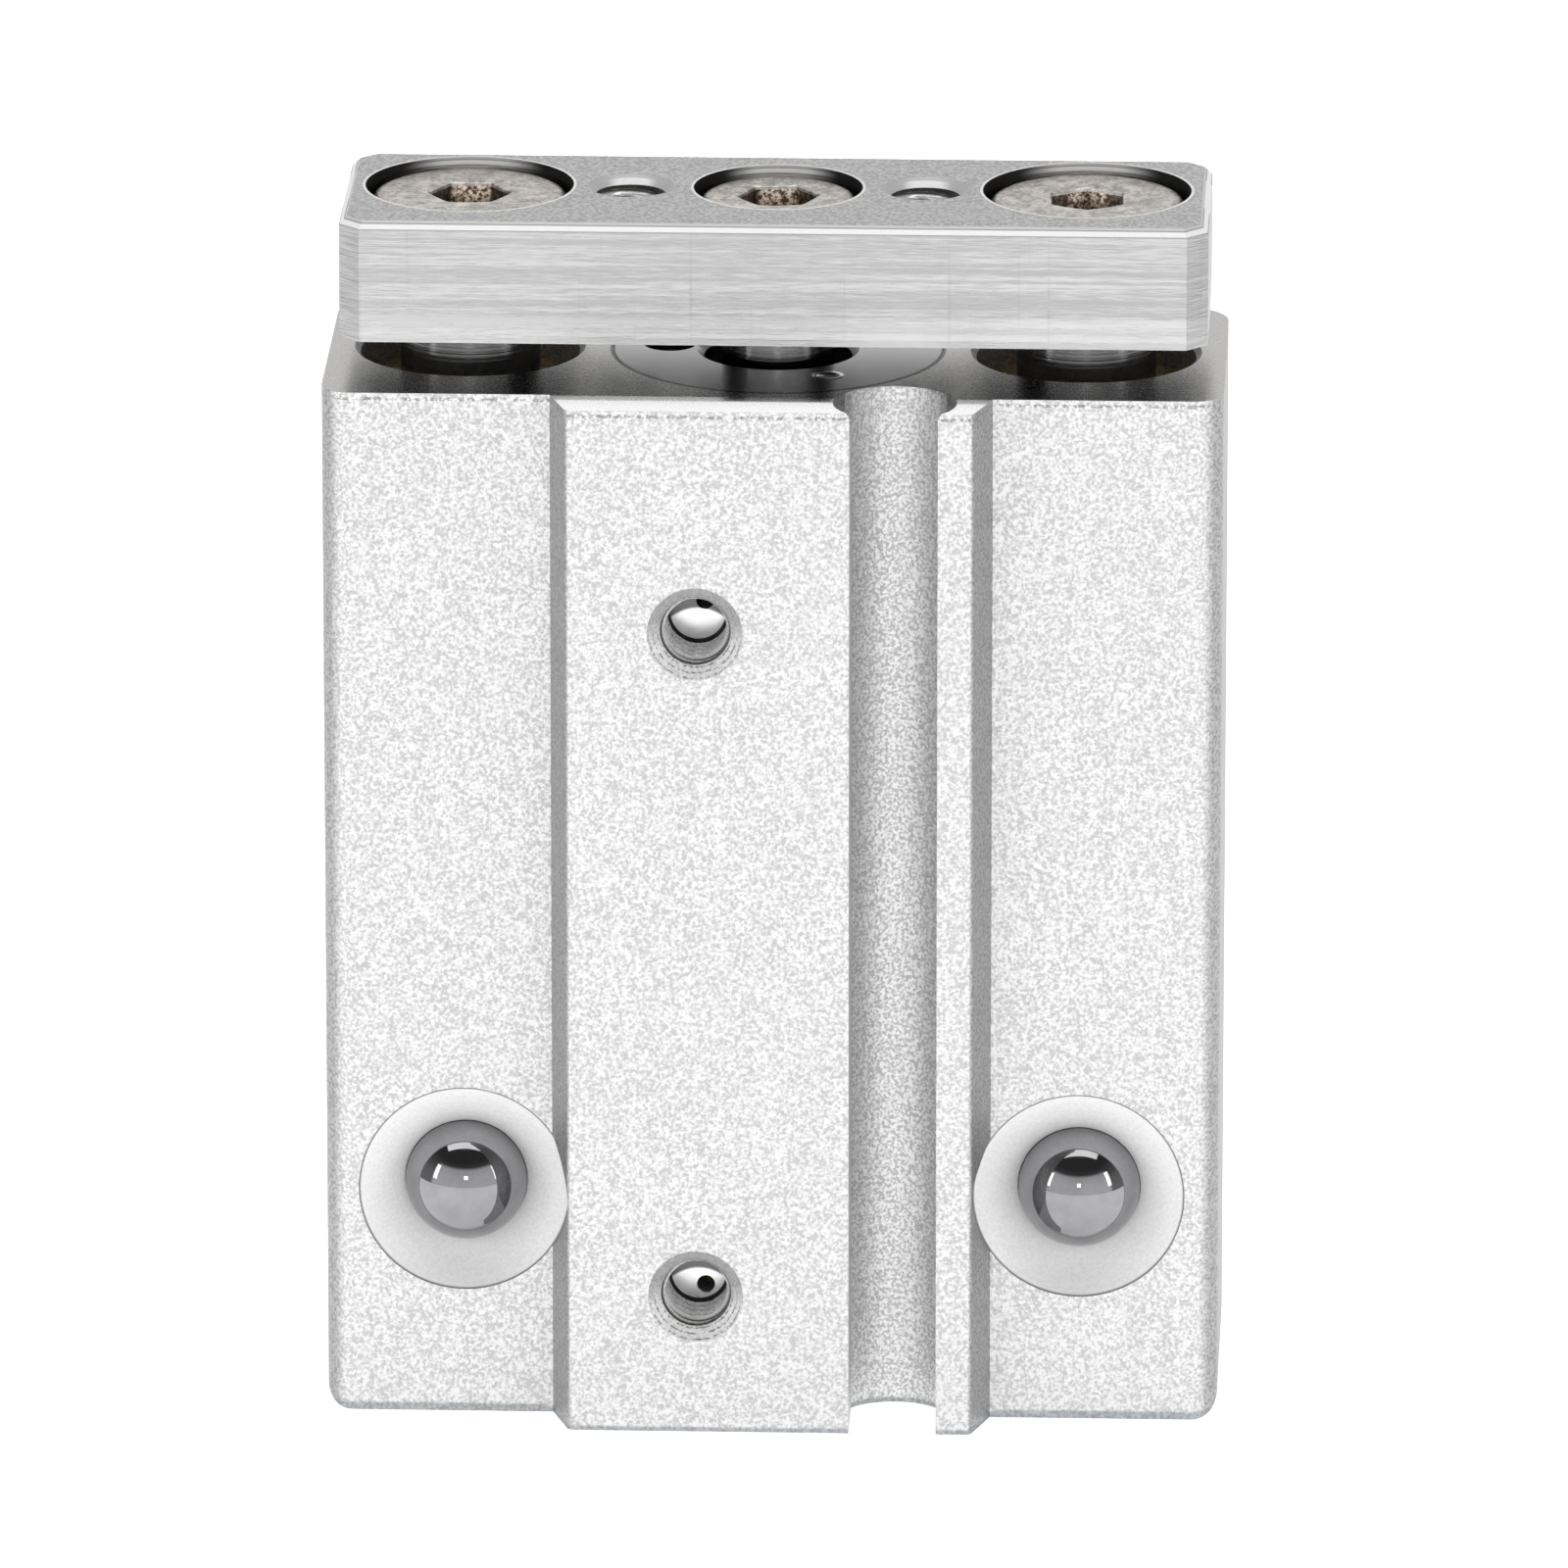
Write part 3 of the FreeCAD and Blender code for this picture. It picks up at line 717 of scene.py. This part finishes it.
# %% Finishes for the hidden pieces
def grained(name, dark, light, scale, roughness, depth, metallic=0.0):
    """Moulded or sintered stock: speckled colour and a pitted surface from one noise."""
    finish = Finish(name, Metallic=metallic)
    grain = finish.noise(finish.place, scale, detail=4.0, roughness=0.65)
    pits = finish.ramp(grain, 0.35, 0.55)
    finish.bump(pits, depth)
    return finish.surface(Base_Color=finish.mix(pits, dark, light),
                          Roughness=roughness + pits * 0.08)


bronze = grained("sintered_bronze", (0.16, 0.09, 0.05, 1), (0.50, 0.36, 0.20, 1),
                 scale=6.0, roughness=0.35, depth=0.01, metallic=1.0)
rubber = grained("nitrile_rubber", (0.012, 0.012, 0.012, 1), (0.03, 0.03, 0.03, 1),
                 scale=5.0, roughness=0.5, depth=0.01)
urethane = grained("bumper_urethane", (0.40, 0.27, 0.10, 1), (0.60, 0.45, 0.22, 1),
                   scale=3.0, roughness=0.4, depth=0.01)
ferrite = grained("bonded_ferrite", (0.03, 0.03, 0.03, 1), (0.09, 0.09, 0.09, 1),
                  scale=7.0, roughness=0.6, depth=0.02)
phosphated = grained("phosphated_steel", (0.08, 0.08, 0.085, 1), (0.20, 0.20, 0.21, 1),
                     scale=8.0, roughness=0.4, depth=0.01, metallic=1.0)
for material, names in (
        (bronze, ("rod_bush", "left_lower_guide_bush", "right_lower_guide_bush",
                  "left_upper_guide_bush", "right_upper_guide_bush")),
        (rubber, ("rod_seal", "cover_o_ring", "piston_seal")),
        (urethane, ("rod_side_bumper", "head_side_bumper")),
        (ferrite, ("piston_magnet",)),
        (phosphated, ("piston_nut",))):
    for name in names:
        dress(name, material)
    print(material.name, "on", len(names))

# %% [markdown]
# ## Screw threads
# A tapped hole shows as fine slanted lines on the wall that faces the light. The solid
# has the plain core, so a thin sleeve lines it: its inner radius is a triangle wave of
# (level / pitch - angle / one turn), which is what a helix is once it is unrolled. The
# wave repeats both along and round, so the sleeve needs no cap at its start. Each point
# also keeps how deep it lies, so the finish can darken the roots, where light hardly
# gets in, and leave the crests bright.

# %% Thread sleeves and their finish
THREAD_PITCH = 0.5 * MM
THREAD_DEPTH = 0.16 * MM
RUN_IN = 0.3 * MM
SLEEVE_WALL = 0.06 * MM
SLEEVE_COLUMNS = 72
ROWS_PER_TURN = 10


def thread_wave(level, turn):
    """Triangle wave, 1 once a pitch and 0 between: |(level / pitch - turn) mod 1 * 2 - 1|."""
    return np.abs(((level / THREAD_PITCH - turn) % 1.0) * 2 - 1)


def thread_sleeve(name, origin, axis, core, length, body, material):
    """Inner radius = core - depth * wave, lower over the run-in; outer wall in the metal."""
    steps = int(round(length / THREAD_PITCH * ROWS_PER_TURN)) + 1
    level = np.linspace(0, length, steps)[:, None]
    turn = np.arange(SLEEVE_COLUMNS)[None, :] / SLEEVE_COLUMNS
    flattened = np.clip(thread_wave(level, turn) * 1.3 - 0.15, 0, 1)
    fade = np.clip(level / RUN_IN, 0.15, 1.0)
    inner = core - 0.005 * MM - THREAD_DEPTH * flattened * fade
    outer = np.full((2, SLEEVE_COLUMNS), core + SLEEVE_WALL)
    radii = np.vstack([inner, outer])
    levels = np.concatenate([level[:, 0], [length, 0.0]])
    sleeve = turned_piece(name, radii, levels, origin, axis, body, material, poles=False)
    hollow = np.clip((radii - core + THREAD_DEPTH) / THREAD_DEPTH, 0, 1)
    stored = sleeve.data.attributes.new("hollow", "FLOAT", "POINT")
    stored.data.foreach_set("value", hollow.ravel())


def cut_thread():
    """Bright crests and dark roots, from how deep each point lies in the thread."""
    finish = Finish("cut_thread", Metallic=0.55)
    hollow = finish.node("ShaderNodeAttribute", {"attribute_name": "hollow"}, output=2)
    chatter = finish.noise(finish.place, scale=5.0, detail=3.0, roughness=0.6)
    finish.bump(chatter, depth=0.006)
    colour = finish.mix(finish.ramp(hollow, 0.35, 0.85), grey(1.0), grey(0.08, 0.1))
    return finish.surface(Base_Color=colour, Roughness=0.22 + chatter * 0.12)


thread_finish = cut_thread()
print("threads at", THREAD_PITCH / MM, "mm pitch")

# %% [markdown]
# ## Where the threads go
# The ports are tapped from the bottom of their leads to their floors, the plate right
# through from under its holes' chamfers, and the base and the back blind. The places,
# radii and spacings come from the part's own mounts, so a thread can't miss its hole.

# %% Threads in the ports, the plate, the base and the back
PORT_LEAD = 0.45 * MM
PORT_THREAD = 2.34 * MM
PLATE_CHAMFER = 0.3 * MM
BLIND_THREAD = 2.9 * MM
SET_BACK = 0.02 * MM
for name in ("rod_port", "head_port"):
    mount = mounts[name]
    mouth = Vector(mount["pos_m"])
    mouth.y = body_low.y + PORT_LEAD
    thread_sleeve(name + "_thread", mouth, (0, 1, 0), mount["dims"]["r_mm"] * MM, PORT_THREAD,
                  "housing", thread_finish)

plate_core = mounts["plate_threads"]["dims"]["hole_r_mm"] * MM
plate_depth = plate_high.z - plate_low.z - PLATE_CHAMFER - 0.05 * MM
for name, side in (("left", -1), ("right", 1)):
    mouth = (side * PLATE_PITCH / 2 * MM, 0, plate_high.z - PLATE_CHAMFER)
    thread_sleeve(name + "_plate_thread", mouth, (0, 0, -1), plate_core, plate_depth,
                  "slider", thread_finish)

for name, inward in (("base_threads", (0, 0, 1)), ("back_threads", (0, -1, 0))):
    mount = mounts[name]
    sizes = mount["dims"]
    apart = sizes["spacing_x_mm"] / 2 * MM
    rise = sizes.get("spacing_y_mm", 0) / 2 * MM
    for side, hand in ((-1, "left"), (1, "right")):
        for end in sorted({-rise, rise}):
            mouth = Vector(mount["pos_m"]) + Vector(inward) * SET_BACK
            mouth += Vector((side * apart, 0, end))
            label = f"{name}_{hand}_{'upper' if end > 0 else 'lower'}"
            thread_sleeve(label, mouth, inward, sizes["hole_r_mm"] * MM, BLIND_THREAD,
                          "housing", thread_finish)

# %% [markdown]
# ## Cap screws
# The three screws are nickel plated, with a hexagon socket and a low turned head. A
# boolean would leave ragged edges round the socket, so the whole screw is one skin from
# the socket's floor, up its six walls, over the rounded head and down the threaded
# shank. In each row a share says how hexagonal it is: radius = share * hexagon(angle)
# + (1 - share) * round. The columns start at a corner, so the corners stay sharp. Plating
# is warm and blotchy. Inside the socket it is brown with bright specks, and painted darker
# as shade towards its two ends.

# %% The screws' finish
SOCKET_TOP = 0.42
SOCKET_REACH = 2.0
SOCKET_ENDS = (0.62, 0.80)


def plated_screw():
    """Warm blotchy plating; brown with bright specks in the socket, painted darker as shade at its
    two ends.
    """
    finish = Finish("nickel_plate", Metallic=1.0)
    x, _, z = finish.axes(finish.place)
    socket = (z < PLATE_TOP - SOCKET_TOP) * (z > PLATE_TOP - SOCKET_REACH)
    ends = 0.0
    for name in SCREWS:
        offset = abs(x - middle_of(name).x)
        ends = finish.ramp(offset, *SOCKET_ENDS) * (offset < 2.0) + ends
    speckle = finish.noise(finish.place, scale=6.5, detail=4.0, roughness=0.7)
    blotch = finish.noise(finish.place, scale=2.6, detail=3.0, roughness=0.65)
    fine = finish.noise(finish.place, scale=16.0)
    plating = finish.mix(finish.ramp(speckle * 0.45 + blotch * 0.55, 0.38, 0.62),
                         (0.31, 0.285, 0.26, 1), (0.68, 0.64, 0.60, 1))
    # inside the socket: brown with bright specks
    socket_colour = finish.mix(finish.ramp(speckle, 0.42, 0.60),
                       (0.09, 0.06, 0.04, 1), (0.95, 0.80, 0.66, 1))
    # painted shade: the socket darkens towards its two ends along X
    socket_colour = finish.mix(ends * 0.85, socket_colour, (0.05, 0.035, 0.03, 1))
    finish.bump(fine * 0.5 + speckle * 0.5, depth=0.012)
    return finish.surface(Base_Color=finish.mix(socket, plating, socket_colour),
                          Roughness=0.34 + speckle * 0.12)


screw_finish = plated_screw()
print("screws are", screw_finish.name)

# %% [markdown]
# ## Cutting the screws
# The rows run from the drill's point in the socket to the tip of the shank. The share of
# the hexagon is full on the socket's walls and fades over the small lead at its mouth,
# so a round head grows out of a six-sided hole without a seam.

# %% Cap screws
SOCKET_HALF_WIDTH = 1.25 * MM
SOCKET_DEPTH = 1.3 * MM
HEAD_HEIGHT = 2.1 * MM
NECK = 0.5 * MM
SCREW_COLUMNS = 96
SHANK_ROWS = 90


def cap_screw(name, turn_degrees, shank, material):
    """One skin from the socket floor to the shank's tip; shank is the thread's radius."""
    low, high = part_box(name)
    centre = ((low.x + high.x) / 2, (low.y + high.y) / 2, 0)
    head = (high.x - low.x) / 2
    top = high.z
    flats = SOCKET_HALF_WIDTH
    deep = top - SOCKET_DEPTH
    under = top - HEAD_HEIGHT
    turn = np.arange(SCREW_COLUMNS) / SCREW_COLUMNS
    hexagon = flats / np.cos((2 * np.pi * turn % (np.pi / 3)) - np.pi / 6)
    socket_rows = [
        (0.05 * MM, deep - 0.32 * MM, 0.0), (0.95 * flats, deep - 0.04 * MM, 0.0),
        (flats, deep, 1.0), (flats, top - 0.10 * MM, 1.0),
        (flats * 1.03, top - 0.04 * MM, 0.9), (flats * 1.12, top, 0.55)]
    outside = rounded_profile([
        (flats * 1.6, top, 0), (head, top, 0.32 * MM), (head, under, 0.1 * MM),
        (shank, under, 0.08 * MM), (shank, under - NECK, 0)])
    rows = np.array([row[:2] for row in socket_rows] + outside.tolist())
    share = np.array([row[2] for row in socket_rows] + [0.0] * len(outside))[:, None]
    upper = share * hexagon * rows[:, :1] / flats + (1 - share) * rows[:, :1]

    run = np.linspace(under - NECK - 0.05 * MM, low.z + 0.2 * MM, SHANK_ROWS)[:, None]
    thread = shank - THREAD_DEPTH * thread_wave(run, turn)
    across = np.ones(SCREW_COLUMNS)
    end = np.array([[shank - 0.35 * MM], [0.1 * MM]]) * across
    radii = np.vstack([upper, thread, end])
    levels = np.vstack([rows[:, 1:] * across, run * across,
                        np.full((2, SCREW_COLUMNS), low.z)])
    screw = turned_piece(name + "_skin", radii, levels, centre, (0, 0, 1), "slider", material,
                         start=np.radians(turn_degrees))
    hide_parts(name)
    return screw


for name, turn_degrees, shank in (("left_guide_rod_bolt", 2.0, 1.48 * MM),
                                  ("right_guide_rod_bolt", 32.0, 1.48 * MM),
                                  ("piston_rod_bolt", 6.0, 1.23 * MM)):
    screw = cap_screw(name, turn_degrees, shank, screw_finish)
    print(screw.name, len(screw.data.polygons), "faces")

# %% [markdown]
# ## Pressed steel balls
# A ball drives into each cross hole and seals it. It is a bearing ball, so it mirrors
# the whole studio, and any facet would show as a kink in the reflections. A fine grid of
# latitude and longitude, radius * (cos, sin), replaces the solid's coarser one, with its
# poles turned to face along the hole where the pinched faces do least harm. A slow haze
# is all that its finish needs.

# %% Steel balls
BALL_ROWS = 80
BALL_COLUMNS = 128


def ball_finish():
    """A dark mirror with a slow haze, slightly bluish where it is thickest."""
    finish = Finish("polished_ball", Metallic=1.0)
    haze = finish.noise(finish.place, scale=1.3, detail=3.0, roughness=0.6)
    colour = finish.mix(haze, (0.24, 0.23, 0.23, 1), (0.36, 0.36, 0.38, 1))
    return finish.surface(Base_Color=colour, Roughness=0.02 + haze * 0.05)


polished = ball_finish()
latitude = np.linspace(-np.pi / 2, np.pi / 2, BALL_ROWS + 2)[1:-1, None]
for name in ("left_steel_ball", "right_steel_ball"):
    low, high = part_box(name)
    radius = (high.x - low.x) / 2
    ball = turned_piece(name + "_skin", radius * np.cos(latitude) * np.ones(BALL_COLUMNS),
                        radius * np.sin(latitude), (low + high) / 2, (0, -1, 0), "housing",
                        polished)
    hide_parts(name)
    print(ball.name, "radius", round(radius / MM, 3), "mm")

# %% [markdown]
# ## The table and the lights
# Small hardware is shot on a white table, which here glows a little of its own and so
# keeps the shadows faint. A small light sits behind the lens, one on each side draws a
# pale stripe down the rods, a wide one hangs over and behind and lights the plate's top,
# and a large one stands at the back.

# %% Table and lights
TABLE_X = (-0.5, 0.5)
TABLE_Y = (-0.9, 0.5)


def floor_finish():
    """White and matt, with a faint drift of grey, and some light of its own."""
    finish = Finish("white_table", Roughness=0.8, Emission_Color=grey(1.0),
                    Emission_Strength=0.80)
    fibre = finish.noise(finish.place, scale=0.02)
    return finish.surface(Base_Color=finish.mix(fibre, grey(0.90), grey(0.93)))


def soft_light(name, position, target, width, height, radiance):
    """Rectangular light that faces its target; power = radiance * pi * area."""
    lamp = bpy.data.lights.new(name, "AREA")
    lamp.shape = "RECTANGLE"
    lamp.size = width
    lamp.size_y = height
    lamp.energy = radiance * np.pi * width * height
    holder = bpy.data.objects.new(name, lamp)
    bpy.context.scene.collection.objects.link(holder)
    holder.location = position
    towards = Vector(target) - Vector(position)
    holder.rotation_euler = towards.to_track_quat("-Z", "Y").to_euler()


corners = [(TABLE_X[0], TABLE_Y[0], 0), (TABLE_X[1], TABLE_Y[0], 0),
           (TABLE_X[1], TABLE_Y[1], 0), (TABLE_X[0], TABLE_Y[1], 0)]
floor = bpy.data.meshes.new("table")
floor.from_pydata(corners, [], [(0, 1, 2, 3)])
table = bpy.data.objects.new("table", floor)
bpy.context.scene.collection.objects.link(table)
table.location.z = body_low.z - 0.02 * MM
table.data.materials.append(floor_finish())

middle = (0, 0, body_high.z / 2)
soft_light("front_light", (0.02, -0.80, 0.27), middle, 0.10, 0.10, 5.0)
soft_light("left_light", (-0.60, -0.34, 0.26), middle, 0.10, 0.30, 3.0)
soft_light("right_light", (0.60, -0.30, 0.26), middle, 0.10, 0.30, 3.0)
soft_light("overhead_light", (0.0, 0.25, 0.78), (0, 0.25, 0), 0.9, 0.9, 1.9)
soft_light("back_light", (0.0, 1.0, 0.30), middle, 0.8, 0.5, 0.9)

# %% [markdown]
# ## The sky
# The studio is grey low down, dark higher up and a little lighter overhead, which gives
# the balls and rods their dark bands. A wide window in front reaches from the table to
# about thirty degrees up and lights the fronts. Both are greys of a direction: the walls
# of its height, and the window of its height times how far it points to the front.

# %% Sky
sky = bpy.data.worlds.new("studio_sky")
bpy.context.scene.world = sky
sky.use_nodes = True
studio = Graph(sky.node_tree)
_, backwards, height = studio.axes(studio.node("ShaderNodeTexCoord", output="Generated"))


def shaded(value, *stops):
    """A grey that follows stops of (value, level)."""
    colours = [(position, grey(level)) for position, level in stops]
    return studio.node("ShaderNodeValToRGB", {"stops": colours}, {"Fac": value})


walls = shaded(height, (0.0, 0.36), (0.30, 0.30), (0.50, 0.15), (0.72, 0.06), (0.93, 0.06),
               (1.0, 0.2))
window = studio.mix(1.0, shaded(backwards * -1.0, (0.36, 0.0), (0.44, 1.0)),
                    shaded(height, (0.0, 0.7), (0.52, 0.7), (0.60, 0.0)), "MULTIPLY")
studio.feed(sky.node_tree.nodes["Background"].inputs["Color"],
            studio.mix(1.0, walls, window, "ADD"))
print("sky of", len(sky.node_tree.nodes), "nodes")

# %% [markdown]
# ## Camera
# A long lens from far away keeps the upright edges parallel. Its direction is given by
# an elevation and an azimuth, and its aim lies a little under the middle of the part,
# so the piece sits where it should in the square frame without any shift.

# %% Camera
ELEVATION = np.radians(16.96)
AZIMUTH = np.radians(2.265)
DISTANCE = 0.688
aim = Vector((0.203 * MM, 0.0, 21.74 * MM))
away = Vector((np.sin(AZIMUTH) * np.cos(ELEVATION), -np.cos(AZIMUTH) * np.cos(ELEVATION),
               np.sin(ELEVATION)))
lens = bpy.data.cameras.new("camera")
lens.lens = 439.6
lens.sensor_width = 36.0
lens.clip_start = 0.05
lens.clip_end = 20.0
camera = bpy.data.objects.new("camera", lens)
bpy.context.scene.collection.objects.link(camera)
camera.location = aim + away * DISTANCE
camera.rotation_euler = (-away).to_track_quat("-Z", "Y").to_euler()
bpy.context.scene.camera = camera
bpy.context.scene.view_settings.view_transform = "Standard"
print("camera at", [round(value, 3) for value in camera.location])
